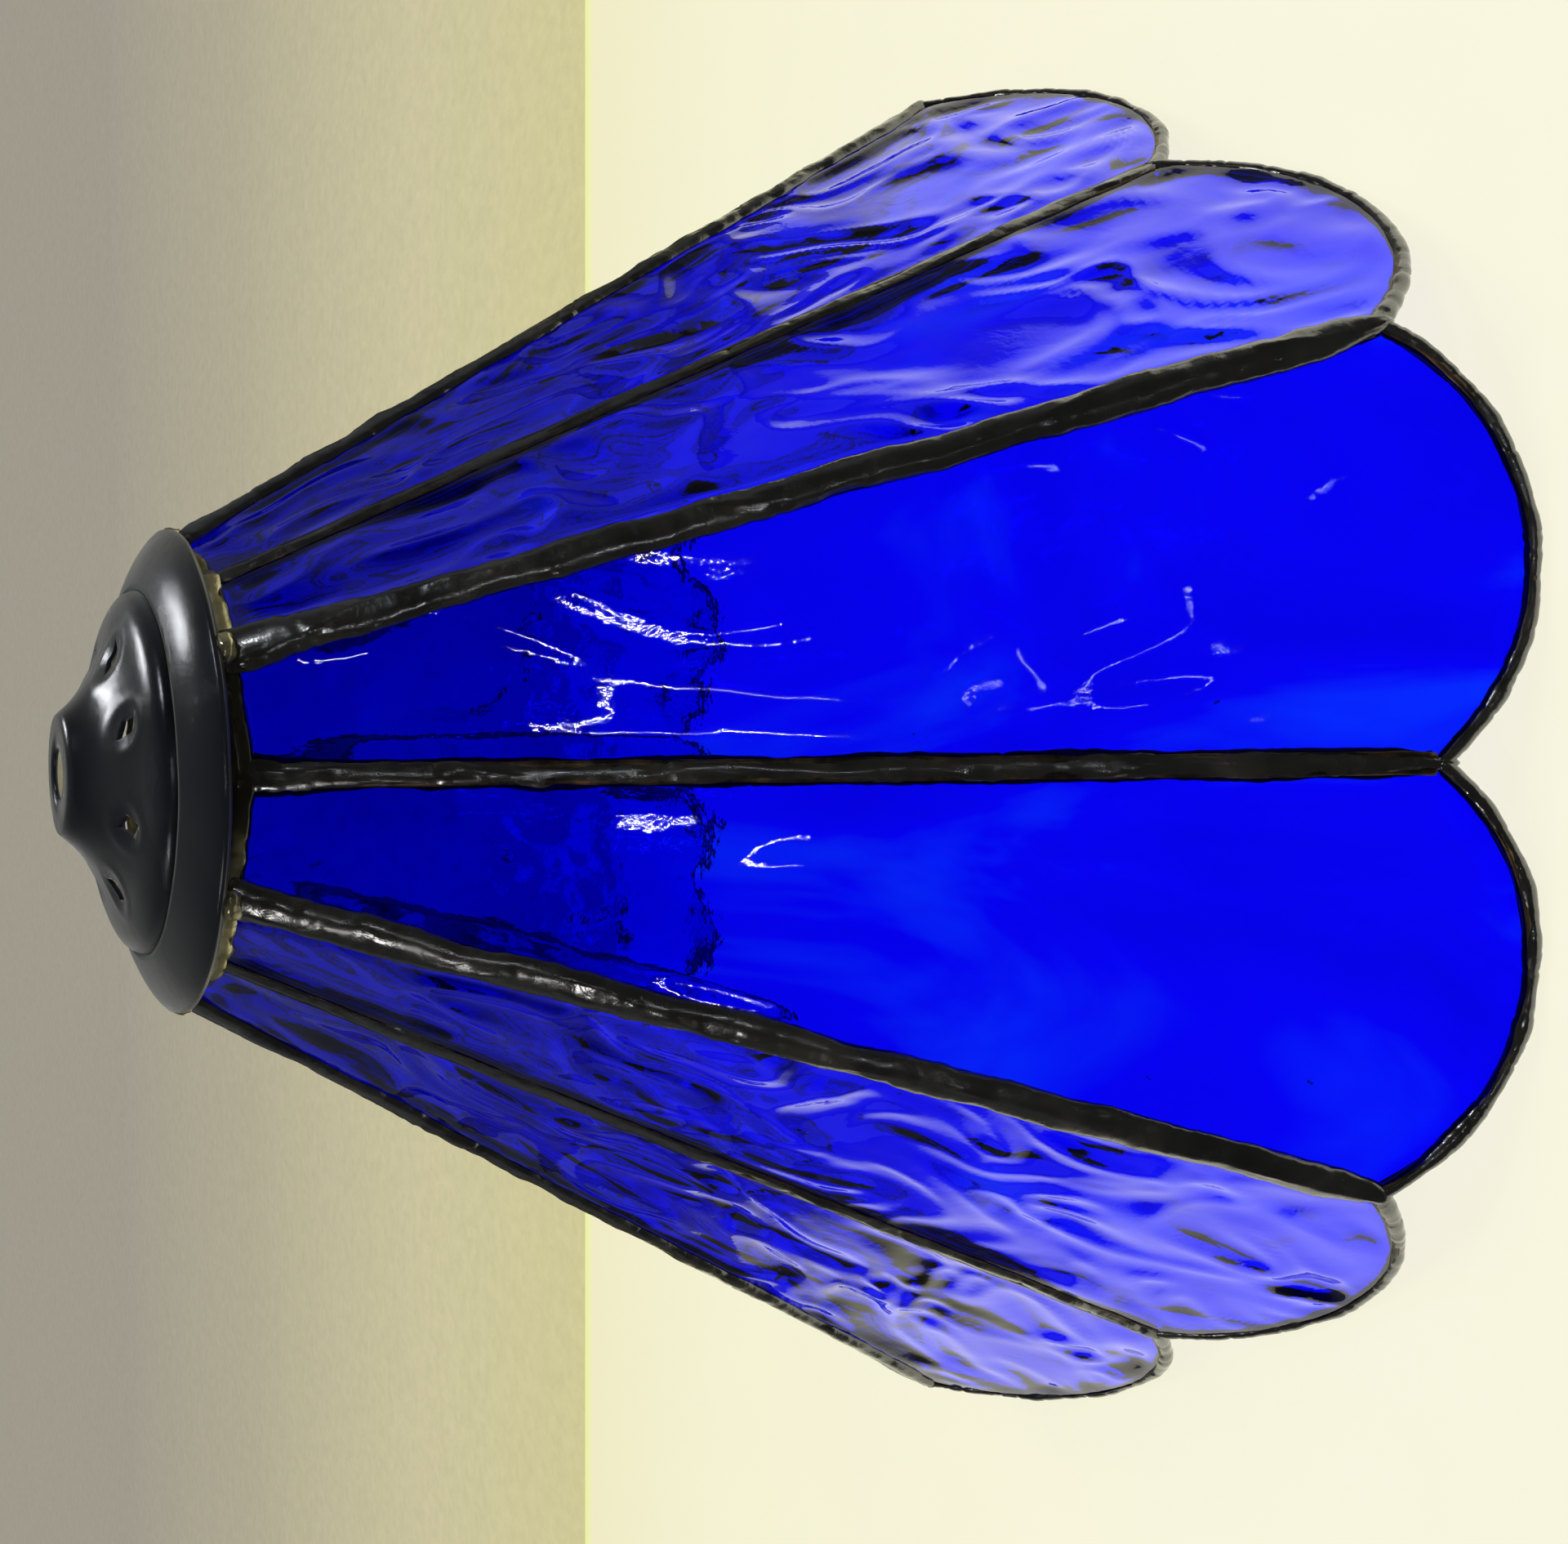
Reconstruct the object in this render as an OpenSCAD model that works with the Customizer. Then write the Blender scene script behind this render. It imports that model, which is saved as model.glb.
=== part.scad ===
// Petal-shaped stained glass lamp shade, built by the copper foil method.
// Flat glass petals are wrapped in foil along their edges and soldered together in
// pairs, so each of the shade's sides is two petals wide. A spun vase cap is soldered
// to the ring at the top, and the shade hangs from the hole in that cap.
// The shade stands on its petal tips, its axis is Z, and a middle seam faces -Y.

/* [Shade] */
// Number of sides, each made of two petals
sides = 6; // [5:1:8]
// Lean of the corner seams, between two sides, from the vertical
corner_splay = 32.5; // [28:0.5:36]
// Lean of the middle seams, halfway across each side, from the vertical
middle_splay = 29.5; // [26:0.5:32]

/* [Petals] */
// Width across a petal's top edge
petal_top = 24; // [20:0.5:28]
// Length of a petal's two straight edges
petal_edge = 233; // [180:1:260]
// Radius of a petal's rounded tip
tip_r = 51; // [48:0.5:60]
// Thickness of the glass
glass_t = 3; // [2.5:0.1:3.5]

/* [Foil and solder] */
// Thickness of the copper foil with its tinning
foil_t = 0.1; // [0.05:0.01:0.15]
// Width of foil folded over each face of the glass
foil_lap = 1.3; // [1:0.1:1.6]
// Distance from a seam's centre line to the edge of the glass
joint_gap = 1; // [0.9:0.05:1.2]
// Radius of the solder bead on a corner seam
corner_bead_r = 3.6; // [3:0.1:4]
// Radius of the solder bead on a middle seam
middle_bead_r = 2.9; // [2.5:0.1:3.5]
// Radius of the solder bead round a petal's tip
edge_bead_r = 2.2; // [1.9:0.1:2.4]
// Radius of the solder ring at the top of the glass
ring_bead_r = 2.4; // [2:0.1:2.6]
// Radius of the solder blob that holds the cap at each corner
tack_r = 2.6; // [2.2:0.1:3]

/* [Vase cap] */
// Outer diameter of the cap
cap_d = 101.6; // [95:0.1:106]
// Height of the cap from its rim to its flat top
cap_h = 22.2; // [20:0.1:26]
// Diameter of the hole that the hanging nipple passes through
hole_d = 11.1; // [10.5:0.1:13]
// Diameter of the flat top round the hole
crown_d = 24.8; // [22:0.1:28]
// Radius of the rounded shoulder inside the flange
shoulder_r = 37.9; // [36:0.1:39]
// Thickness of the spun brass
cap_t = 0.8; // [0.6:0.1:1.2]
// Height of the cap's rim below the point where all the seam lines meet
cap_drop = 72; // [70:0.5:74]
// Number of vents punched round the cap
vents = 8; // [4:1:10]
// Length of one vent
vent_length = 4.8; // [3:0.1:5.5]
// Width of one vent
vent_width = 3.4; // [2:0.1:4]
// Distance from the cap's centre to the middle of a vent
vent_ring_r = 25.6; // [24:0.1:27]
// Slant of the vents
vent_slant = 28; // [0:1:40]

/* [Hidden] */
$fn = 64;
petals = 2 * sides;
seam_step = 180 / sides;

function unit(v) = v / norm(v);
function two_digits(i) = str(i < 10 ? "0" : "", i);

// Seams are numbered from 0 at -Y. Even ones are middle seams and odd ones are corners.
function is_corner(k) = k % 2 == 1;
function seam_azimuth(k) = -90 + k * seam_step;
function seam_splay(k) = is_corner(k) ? corner_splay : middle_splay;
function bead_r(k) = is_corner(k) ? corner_bead_r : middle_bead_r;
function petals_beside(k) = [(k + petals - 1) % petals, k];
function seam_dir(k) = [
    sin(seam_splay(k)) * cos(seam_azimuth(k)),
    sin(seam_splay(k)) * sin(seam_azimuth(k)),
    -cos(seam_splay(k))
];

// A petal lies between seams i and i + 1. Its frame is across, along and through it.
function petal_along(i) = unit(seam_dir(i) + seam_dir(i + 1));
function petal_across(i) = unit(seam_dir(i + 1) - seam_dir(i));
function petal_through(i) = cross(petal_across(i), petal_along(i));

// Every seam line passes through the apex, and distances along a seam start there.
half_angle = acos(seam_dir(0) * seam_dir(1)) / 2;
top_run = petal_top / 2 / sin(half_angle);
notch_run = top_run + petal_edge;
notch = notch_run * [sin(half_angle), cos(half_angle)];
tip_y = notch[1] - sqrt(pow(tip_r, 2) - pow(notch[0], 2));
tip_sweep = atan2(notch[0], notch[1] - tip_y);

// The lowest points are on the tip beads, where a petal falls most steeply.
steepest = sqrt(1 - pow(petal_through(0)[2], 2));
apex_z = -tip_y * petal_along(0)[2] + tip_r * steepest + edge_bead_r;
apex = [0, 0, apex_z];
rim_z = apex_z - cap_drop;
ring_run = top_run - ring_bead_r / 4;
notch_web = 3.6;
tack_in = 1.4;
tack_down = 1.1;

function on_seam(k, run) = apex + seam_dir(k) * run;

// Cap profile: a flat crown, a concave flare, a rounded shoulder, a narrow groove and
// a domed flange. Each curved stretch is a cubic through four control points.
profile_steps = 8;
rim_drop = 1.2;
crown_round = 0.9;
groove = 0.8;
groove_z = 6.6;
flare = [[crown_d / 2 + crown_round, cap_h - crown_round], [16, cap_h * 0.81], [21.5, 14.2], [30, 12]];
shoulder = [[30, 12], [34.5, 10.9], [shoulder_r, 9.6], [shoulder_r, groove_z]];
flange = [
    [shoulder_r + groove, groove_z + 0.5], [43.5, 5.8], [48.8, 3.4], [cap_d / 2, rim_drop]
];
function cubic(p, t) = pow(1 - t, 3) * p[0] + 3 * pow(1 - t, 2) * t * p[1]
    + 3 * (1 - t) * pow(t, 2) * p[2] + pow(t, 3) * p[3];
function stretch(p) = [for (j = [0 : profile_steps]) cubic(p, j / profile_steps)];
outer_profile = concat(
    [[hole_d / 2, cap_h], [crown_d / 2, cap_h]],
    stretch(flare),
    [for (j = [1 : profile_steps]) cubic(shoulder, j / profile_steps)],
    [[shoulder_r + groove / 2, groove_z - 0.2]],
    stretch(flange),
    [[cap_d / 2, 0]]
);
last_point = len(outer_profile) - 1;
function tangent(j) = unit(outer_profile[min(j + 1, last_point)] - outer_profile[max(j - 1, 0)]);
function inner_point(j) = j == 0 ? [hole_d / 2, cap_h - cap_t]
    : j == last_point ? [cap_d / 2 - cap_t, 0]
    : outer_profile[j] + cap_t * [tangent(j)[1], -tangent(j)[0]];
inner_profile = [for (j = [last_point : -1 : 0]) inner_point(j)];

function seam_name(k) = str(is_corner(k) ? "corner_seam_" : "middle_seam_", floor(k / 2) + 1);

// Places a petal's flat drawing, x across and y along it from the apex.
module in_petal_plane(i) {
    a = petal_across(i);
    b = petal_along(i);
    c = petal_through(i);
    multmatrix([
        [a[0], b[0], c[0], 0],
        [a[1], b[1], c[1], 0],
        [a[2], b[2], c[2], apex_z],
        [0, 0, 0, 1]
    ]) children();
}

// Places a piece drawn along +Z so that it runs from point p towards point q.
module from_to(p, q) {
    c = unit(q - p);
    a = unit(cross([0, 0, 1], c));
    b = cross(c, a);
    multmatrix([
        [a[0], b[0], c[0], p[0]],
        [a[1], b[1], c[1], p[1]],
        [a[2], b[2], c[2], p[2]],
        [0, 0, 0, 1]
    ]) children();
}

module rod(p, q, r) {
    from_to(p, q) cylinder(h = norm(q - p), r = r);
}

// Outline of a petal, drawn in by the given inset: straight sides and a round tip.
module petal_outline(inset) {
    side_in = (joint_gap + inset) / cos(half_angle);
    top_y = top_run * cos(half_angle) + inset;
    end_y = tip_y + 2 * tip_r;
    top_x = top_y * tan(half_angle) - side_in;
    end_x = end_y * tan(half_angle) - side_in;
    intersection() {
        polygon([[-top_x, top_y], [top_x, top_y], [end_x, end_y], [-end_x, end_y]]);
        union() {
            translate([-2 * tip_r, 0]) square([4 * tip_r, tip_y]);
            translate([0, tip_y]) circle(r = tip_r - inset);
        }
    }
}

module petal_plate(inset, thickness) {
    linear_extrude(height = thickness, center = true) petal_outline(inset);
}

// The space that a petal takes up together with its foil.
module wrapped_petal(i) {
    in_petal_plane(i) petal_plate(-foil_t, glass_t + 2 * foil_t);
}

module petal(i) {
    color([0.02, 0.02, 0.85, 0.6]) in_petal_plane(i) petal_plate(0, glass_t);
}

module foil_wrap(i) {
    color([0.3, 0.2, 0.14]) in_petal_plane(i) difference() {
        petal_plate(-foil_t, glass_t + 2 * foil_t);
        petal_plate(0, glass_t);
        petal_plate(foil_lap, 2 * glass_t);
    }
}

// The whole bead of seam k, before the glass and the ring are taken from it. It
// runs a little past the notch, as a web between the two tip beads.
module seam_rod(k) {
    rod(on_seam(k, top_run - joint_gap), on_seam(k, notch_run + notch_web), bead_r(k));
}

module seam(k) {
    color([0.1, 0.1, 0.09]) difference() {
        seam_rod(k);
        for (i = petals_beside(k)) {
            wrapped_petal(i);
            ring_rod(i);
        }
    }
}

module tip_bead(i) {
    color([0.12, 0.12, 0.1]) difference() {
        in_petal_plane(i) translate([0, tip_y, 0]) rotate([0, 0, 90 - tip_sweep])
            rotate_extrude(angle = 2 * tip_sweep) translate([tip_r, 0]) circle(r = edge_bead_r, $fn = 24);
        wrapped_petal(i);
        seam_rod(i);
        seam_rod(i + 1);
    }
}

// The bead along the top edge of petal i, with both ends left long.
module ring_rod(i) {
    p = on_seam(i, ring_run);
    q = on_seam(i + 1, ring_run);
    spare = unit(q - p) * 2 * ring_bead_r;
    rod(p - spare, q + spare, ring_bead_r);
}

// The upright wedge of space between two seams, which mitres the ring's bars. It
// starts a little behind the axis, so that neighbouring bars run into each other.
module sector(i) {
    far = cap_d;
    behind = -0.15;
    middle = (seam_azimuth(i) + seam_azimuth(i + 1)) / 2;
    linear_extrude(height = apex_z) polygon([
        behind * [cos(middle), sin(middle)],
        far * [cos(seam_azimuth(i)), sin(seam_azimuth(i))],
        far * [cos(seam_azimuth(i + 1)), sin(seam_azimuth(i + 1))]
    ]);
}

module top_ring() {
    color([0.2, 0.2, 0.14]) for (i = [0 : petals - 1]) difference() {
        intersection() {
            ring_rod(i);
            sector(i);
        }
        wrapped_petal(i);
    }
}

// A blob of solder at each corner, under the cap's rim and against the ring.
module cap_solder() {
    color([0.15, 0.15, 0.12]) for (k = [1 : 2 : petals - 1]) difference() {
        rotate([0, 0, seam_azimuth(k)]) translate([cap_d / 2 - tack_in, 0, rim_z - tack_down])
            intersection() {
                sphere(r = tack_r);
                translate([0, 0, tack_down - tack_r]) cube(2 * tack_r, center = true);
            }
        seam_rod(k);
        for (i = petals_beside(k)) {
            wrapped_petal(i);
            ring_rod(i);
        }
    }
}

module vent_cutter() {
    linear_extrude(height = cap_h) multmatrix([
        [1, tan(vent_slant), 0, 0],
        [0, 1, 0, 0],
        [0, 0, 1, 0],
        [0, 0, 0, 1]
    ]) square([vent_length, vent_width], center = true);
}

module vase_cap() {
    color([0.16, 0.17, 0.19]) difference() {
        translate([0, 0, rim_z]) rotate_extrude() polygon(concat(outer_profile, inner_profile));
        for (j = [0 : vents - 1])
            rotate([0, 0, -90 + (j + 0.5) * 360 / vents]) translate([vent_ring_r, 0, rim_z]) vent_cutter();
    }
}

for (i = [1 : petals]) {
    petal(i - 1);
    foil_wrap(i - 1);
    tip_bead(i - 1);
    seam(i - 1);
}
top_ring();
cap_solder();
vase_cap();
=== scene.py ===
"""Looks of a petal-shaped stained glass lamp shade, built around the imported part."""

import math
import random

import bpy
from mathutils import Matrix, Vector, noise


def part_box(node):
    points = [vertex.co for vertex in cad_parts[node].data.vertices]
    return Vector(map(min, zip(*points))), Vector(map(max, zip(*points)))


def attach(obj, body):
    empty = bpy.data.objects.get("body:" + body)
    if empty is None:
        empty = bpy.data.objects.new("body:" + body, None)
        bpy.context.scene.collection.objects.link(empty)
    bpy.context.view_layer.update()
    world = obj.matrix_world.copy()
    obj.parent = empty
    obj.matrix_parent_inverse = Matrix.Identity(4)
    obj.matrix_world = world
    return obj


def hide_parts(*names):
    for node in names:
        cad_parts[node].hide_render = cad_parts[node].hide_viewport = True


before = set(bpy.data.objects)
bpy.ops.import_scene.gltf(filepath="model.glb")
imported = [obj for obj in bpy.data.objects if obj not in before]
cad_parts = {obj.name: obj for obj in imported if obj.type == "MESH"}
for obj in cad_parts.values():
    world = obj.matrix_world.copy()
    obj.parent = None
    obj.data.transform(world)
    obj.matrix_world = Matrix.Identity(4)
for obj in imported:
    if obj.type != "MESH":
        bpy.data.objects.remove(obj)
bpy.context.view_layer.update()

MM = 0.001
UP = Vector((0, 0, 1))

# Without a seed, the offsets of noise vectors would differ in each run.
NOISE_SEED = 7
noise.seed_set(NOISE_SEED)


# ---------------------------------------------------------------- camera

CAMERA_PLACE = Vector((0.0110, -0.3791, 0.3097))
CAMERA_TARGET = Vector((-0.0041, -0.0001, 0.0741))
CAMERA_ROLL = 0.031
CAMERA_LENS = 39.62


def add_camera():
    """The camera lies on its side, so the shade's top points left in the picture."""
    ahead = (CAMERA_TARGET - CAMERA_PLACE).normalized()
    right = (-UP - ahead * ahead.dot(-UP)).normalized()
    down = ahead.cross(right)
    turned_right = math.cos(CAMERA_ROLL) * right + math.sin(CAMERA_ROLL) * down
    turned_down = math.cos(CAMERA_ROLL) * down - math.sin(CAMERA_ROLL) * right
    data = bpy.data.cameras.new("camera")
    data.lens = CAMERA_LENS
    camera = bpy.data.objects.new("camera", data)
    turn = Matrix((turned_right, -turned_down, -ahead)).transposed()
    camera.matrix_world = Matrix.Translation(CAMERA_PLACE) @ turn.to_4x4()
    bpy.context.collection.objects.link(camera)
    bpy.context.scene.camera = camera


add_camera()


# ---------------------------------------------------------------- the shade's layout, as in the part

SIDES = 6
PETALS = 2 * SIDES
SEAM_STEP = math.pi / SIDES
CORNER_SPLAY = math.radians(32.5)
MIDDLE_SPLAY = math.radians(29.5)
PETAL_TOP = 24 * MM
PETAL_EDGE = 233 * MM
TIP_R = 51 * MM
GLASS_T = 3 * MM
FOIL_T = 0.1 * MM
FOIL_LAP = 1.3 * MM
JOINT_GAP = 1 * MM
CORNER_BEAD_R = 3.6 * MM
MIDDLE_BEAD_R = 2.9 * MM
EDGE_BEAD_R = 2.2 * MM
RING_BEAD_R = 2.4 * MM
NOTCH_WEB = 3.6 * MM
CAP_DROP = 72 * MM

cap_low, cap_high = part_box("vase_cap")
RIM_Z = cap_low.z
CAP_R = cap_high.x
APEX = Vector((0, 0, RIM_Z + CAP_DROP))


def is_corner(k):
    return k % 2 == 1


def seam_azimuth(k):
    return -math.pi / 2 + k * SEAM_STEP


def seam_dir(k):
    splay = CORNER_SPLAY if is_corner(k) else MIDDLE_SPLAY
    a = seam_azimuth(k)
    return Vector((math.sin(splay) * math.cos(a), math.sin(splay) * math.sin(a), -math.cos(splay)))


HALF_ANGLE = seam_dir(0).angle(seam_dir(1)) / 2
TOP_RUN = PETAL_TOP / 2 / math.sin(HALF_ANGLE)
NOTCH_RUN = TOP_RUN + PETAL_EDGE
NOTCH_X = NOTCH_RUN * math.sin(HALF_ANGLE)
NOTCH_Y = NOTCH_RUN * math.cos(HALF_ANGLE)
TIP_Y = NOTCH_Y - math.sqrt(TIP_R ** 2 - NOTCH_X ** 2)
TIP_SWEEP = math.atan2(NOTCH_X, NOTCH_Y - TIP_Y)
TOP_Y = TOP_RUN * math.cos(HALF_ANGLE)
SIDE_IN = JOINT_GAP / math.cos(HALF_ANGLE)


def on_seam(k, run):
    return APEX + seam_dir(k) * run


class PetalPlane:
    """Petal i's own axes: x across it, y along it from the apex and z through it, inwards."""

    def __init__(self, i):
        self.along = (seam_dir(i) + seam_dir(i + 1)).normalized()
        self.across = (seam_dir(i + 1) - seam_dir(i)).normalized()
        self.through = self.across.cross(self.along)

    def place(self, x, y, z):
        return APEX + self.across * x + self.along * y + self.through * z


def half_width(y):
    """Half the width of the glass at distance y from the apex."""
    straight = y * math.tan(HALF_ANGLE) - SIDE_IN
    if y <= TIP_Y:
        return straight
    return min(straight, math.sqrt(max(TIP_R ** 2 - (y - TIP_Y) ** 2, 0)))


# ---------------------------------------------------------------- mesh helpers


def smooth_step(low, high, value):
    t = min(max((value - low) / (high - low), 0), 1)
    return t * t * (3 - 2 * t)


def hump(distance, width):
    """A bell curve of height 1."""
    return math.exp(-((distance / width) ** 2))


def wander(value, seed):
    """Smooth noise along a line, from about -1 to 1."""
    return 2 * noise.noise(Vector((value, seed * 7.31, seed * 3.17)))


def lumps(point, size, seed):
    """Smooth noise in space, from about -1 to 1."""
    return 2 * noise.noise(point / size + Vector((seed * 5.3, seed * 2.9, seed * 8.1)))


def add_piece(name, points, faces, materials, replaced, face_materials=None):
    """Makes a smooth mesh that rides on the body and stands for the CAD nodes replaced."""
    mesh = bpy.data.meshes.new(name)
    mesh.from_pydata([tuple(p) for p in points], [], faces)
    for m in materials:
        mesh.materials.append(m)
    mesh.shade_smooth()
    if face_materials:
        mesh.polygons.foreach_set("material_index", face_materials)
    piece = bpy.data.objects.new(name, mesh)
    bpy.context.collection.objects.link(piece)
    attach(piece, "root")
    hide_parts(*replaced)
    return piece


def loft_faces(rings, around, closed):
    """Faces of a tube with that many rings. A closed one joins end to end, others get end faces."""
    faces = []
    for j in range(rings if closed else rings - 1):
        here, there = j * around, (j + 1) % rings * around
        for n in range(around):
            after = (n + 1) % around
            faces.append((here + n, here + after, there + after, there + n))
    if not closed:
        faces.append(tuple(range(around - 1, -1, -1)))
        faces.append(tuple(range((rings - 1) * around, rings * around)))
    return faces


# ---------------------------------------------------------------- materials


class Nodes:
    """Short ways to make and join the nodes of one material, or of the world."""

    def __init__(self, name, kind="Material"):
        made = bpy.data.worlds if kind == "World" else bpy.data.materials
        self.owner = made.new(name)
        self.owner.use_nodes = True
        self.tree = self.owner.node_tree
        self.tree.nodes.clear()
        self.output = self.add("Output" + kind)

    def add(self, kind, **settings):
        node = self.tree.nodes.new("ShaderNode" + kind)
        for key, value in settings.items():
            setattr(node, key, value)
        return node

    def join(self, source, target):
        self.tree.links.new(source, target)

    def coordinates(self, output="Object", stretch=(1, 1, 1)):
        place = self.add("TexCoord")
        mapping = self.add("Mapping")
        mapping.inputs["Scale"].default_value = stretch
        self.join(place.outputs[output], mapping.inputs["Vector"])
        return mapping.outputs["Vector"]

    def noise(self, vector, scale, detail=3.0, rough=0.55, distortion=0.0):
        node = self.add("TexNoise")
        node.inputs["Scale"].default_value = scale
        node.inputs["Detail"].default_value = detail
        node.inputs["Roughness"].default_value = rough
        node.inputs["Distortion"].default_value = distortion
        self.join(vector, node.inputs["Vector"])
        return node.outputs["Fac"]

    def ramp(self, source, *stops):
        """A colour ramp through (position, colour) stops."""
        node = self.add("ValToRGB")
        elements = node.color_ramp.elements
        while len(elements) < len(stops):
            elements.new(0.5)
        for element, (position, colour) in zip(elements, stops):
            element.position = position
            element.color = (*colour, 1) if len(colour) == 3 else colour
        self.join(source, node.inputs["Fac"])
        return node.outputs["Color"]

    def values(self, source, low, high, from_low=0.3, from_high=0.7, curve="LINEAR"):
        """Maps from_low..from_high, by default the middle of a noise, to low..high."""
        node = self.add("MapRange", interpolation_type=curve)
        node.inputs["From Min"].default_value = from_low
        node.inputs["From Max"].default_value = from_high
        node.inputs["To Min"].default_value = low
        node.inputs["To Max"].default_value = high
        self.join(source, node.inputs["Value"])
        return node.outputs["Result"]

    def math(self, operation, a, b=0):
        node = self.add("Math", operation=operation)
        for value, target in ((a, node.inputs[0]), (b, node.inputs[1])):
            if isinstance(value, (int, float)):
                target.default_value = value
            else:
                self.join(value, target)
        return node.outputs["Value"]

    def mix(self, factor, a, b, blend="MIX"):
        node = self.add("Mix", data_type="RGBA", blend_type=blend)
        for value, target in ((factor, node.inputs[0]), (a, node.inputs[6]), (b, node.inputs[7])):
            if isinstance(value, (int, float)):
                target.default_value = value
            elif isinstance(value, tuple):
                target.default_value = (*value, 1)
            else:
                self.join(value, target)
        return node.outputs[2]

    def bump(self, height, distance, strength=1.0, normal=None):
        node = self.add("Bump")
        node.inputs["Strength"].default_value = strength
        node.inputs["Distance"].default_value = distance
        self.join(height, node.inputs["Height"])
        if normal is not None:
            self.join(normal, node.inputs["Normal"])
        return node.outputs["Normal"]

    def principled(self, colour, roughness, normal, **sockets):
        node = self.add("BsdfPrincipled")
        self.join(colour, node.inputs["Base Color"])
        self.join(roughness, node.inputs["Roughness"])
        self.join(normal, node.inputs["Normal"])
        for key, value in sockets.items():
            node.inputs[key.replace("_", " ")].default_value = value
        return node.outputs["BSDF"]

    def choose(self, factor, first, second):
        """The first shader where the factor is 0 and the second where it is 1."""
        node = self.add("MixShader")
        for source, target in zip((factor, first, second), node.inputs):
            self.join(source, target)
        return node.outputs["Shader"]

    def finish(self, shader):
        self.join(shader, self.output.inputs["Surface"])
        return self.owner


def cobalt_glass():
    """Deep blue rolled glass with streaks of lighter blue, dark specks and a finely hammered face.
    For shadows it is plain coloured glass, so that the light below the shade stays free of noise."""
    n = Nodes("cobalt_glass")
    sheet = n.coordinates("UV")
    streaky = n.coordinates("UV", (1, 0.45, 1))
    streaks = n.noise(streaky, 22, 4, 0.5, 1.2)
    colour = n.ramp(
        streaks,
        (0.30, (0.0010, 0.0002, 0.74)),
        (0.54, (0.0012, 0.0004, 0.86)),
        (0.74, (0.0010, 0.0170, 0.95)),
    )
    specks = n.add("TexVoronoi", distance="EUCLIDEAN")
    specks.inputs["Scale"].default_value = 160
    specks.inputs["Randomness"].default_value = 1
    n.join(sheet, specks.inputs["Vector"])
    rare = n.noise(sheet, 90, 1)
    speck_size = n.values(rare, 0.0, 0.11, 0.58, 0.75)
    is_speck = n.math("LESS_THAN", specks.outputs["Distance"], speck_size)
    colour = n.mix(is_speck, colour, (0.0003, 0.0006, 0.10))
    hammered = n.noise(streaky, 420, 3, 0.6, 0.4)
    pebbled = n.noise(sheet, 130, 2, 0.5, 0.6)
    grained = n.noise(sheet, 1100, 2, 0.5)
    normal = n.bump(pebbled, 0.07 * MM)
    normal = n.bump(hammered, 0.016 * MM, 1.0, normal)
    normal = n.bump(grained, 0.008 * MM, 1.0, normal)
    roughness = n.values(n.noise(sheet, 60, 3), 0.015, 0.035)
    glass = n.principled(colour, roughness, normal, Transmission_Weight=1.0, IOR=1.5)
    clear = n.add("BsdfTransparent")
    n.join(n.mix(1.0, colour, colour, "SCREEN"), clear.inputs["Color"])
    is_shadow = n.add("LightPath").outputs["Is Shadow Ray"]
    return n.finish(n.choose(is_shadow, glass, clear.outputs["BSDF"]))


def black_solder(name, dark, middle, tarnish, metallic, reflected_tin=None):
    """Solder blackened with patina: uneven black, tinny where it was rubbed, finely pitted. If a tin colour
    is given, it is painted on the parts far to the left and right as a painted reflection: there the ring
    mirrors the bright sheet."""
    n = Nodes(name)
    space = n.coordinates()
    cloudy = n.noise(space, 55, 5, 0.6, 0.5)
    colour = n.ramp(cloudy, (0.30, dark), (0.55, middle), (0.75, tarnish))
    if reflected_tin:
        # Painted reflection: a pale tin colour on the far left and right, where the ring mirrors the bright
        # sheet.
        place = n.add("SeparateXYZ")
        n.join(space, place.inputs["Vector"])
        uneven = n.values(cloudy, -14 * MM, 14 * MM)
        aside = n.math("ADD", n.math("ABSOLUTE", place.outputs["X"]), uneven)
        painted_reflection_mask = n.values(aside, 0.0, 1.0, 16 * MM, 30 * MM)
        reflected_tin_colour = n.ramp(n.noise(space, 90, 4, 0.6), (0.35, tuple(c * 0.3 for c in reflected_tin)), (0.6, reflected_tin))
        colour = n.mix(painted_reflection_mask, colour, reflected_tin_colour)
    rubbed = n.ramp(n.noise(space, 230, 6, 0.7), (0.66, (0, 0, 0)), (0.74, (1, 1, 1)))
    colour = n.mix(n.math("MULTIPLY", rubbed, 0.35), colour, (0.16, 0.15, 0.12))
    roughness = n.values(n.noise(space, 120, 4, 0.6), 0.13, 0.32)
    pits = n.noise(space, 900, 4, 0.7)
    dents = n.noise(space, 260, 3, 0.55, 0.8)
    normal = n.bump(dents, 0.16 * MM, 1.0)
    normal = n.bump(pits, 0.03 * MM, 0.6, normal)
    shader = n.principled(colour, roughness, normal, Metallic=metallic, IOR=2.1)
    return n.finish(shader)


def foil_metal():
    """Copper foil, tinned and blackened, with copper showing here and there."""
    n = Nodes("foil")
    space = n.coordinates()
    patches = n.noise(space, 140, 4, 0.6)
    colour = n.ramp(
        patches,
        (0.40, (0.02, 0.018, 0.016)),
        (0.62, (0.10, 0.065, 0.04)),
        (0.80, (0.35, 0.15, 0.07)),
    )
    roughness = n.values(n.noise(space, 300, 3), 0.28, 0.5)
    normal = n.bump(n.noise(space, 500, 3), 0.08 * MM)
    return n.finish(n.principled(colour, roughness, normal, Metallic=0.9))


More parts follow.
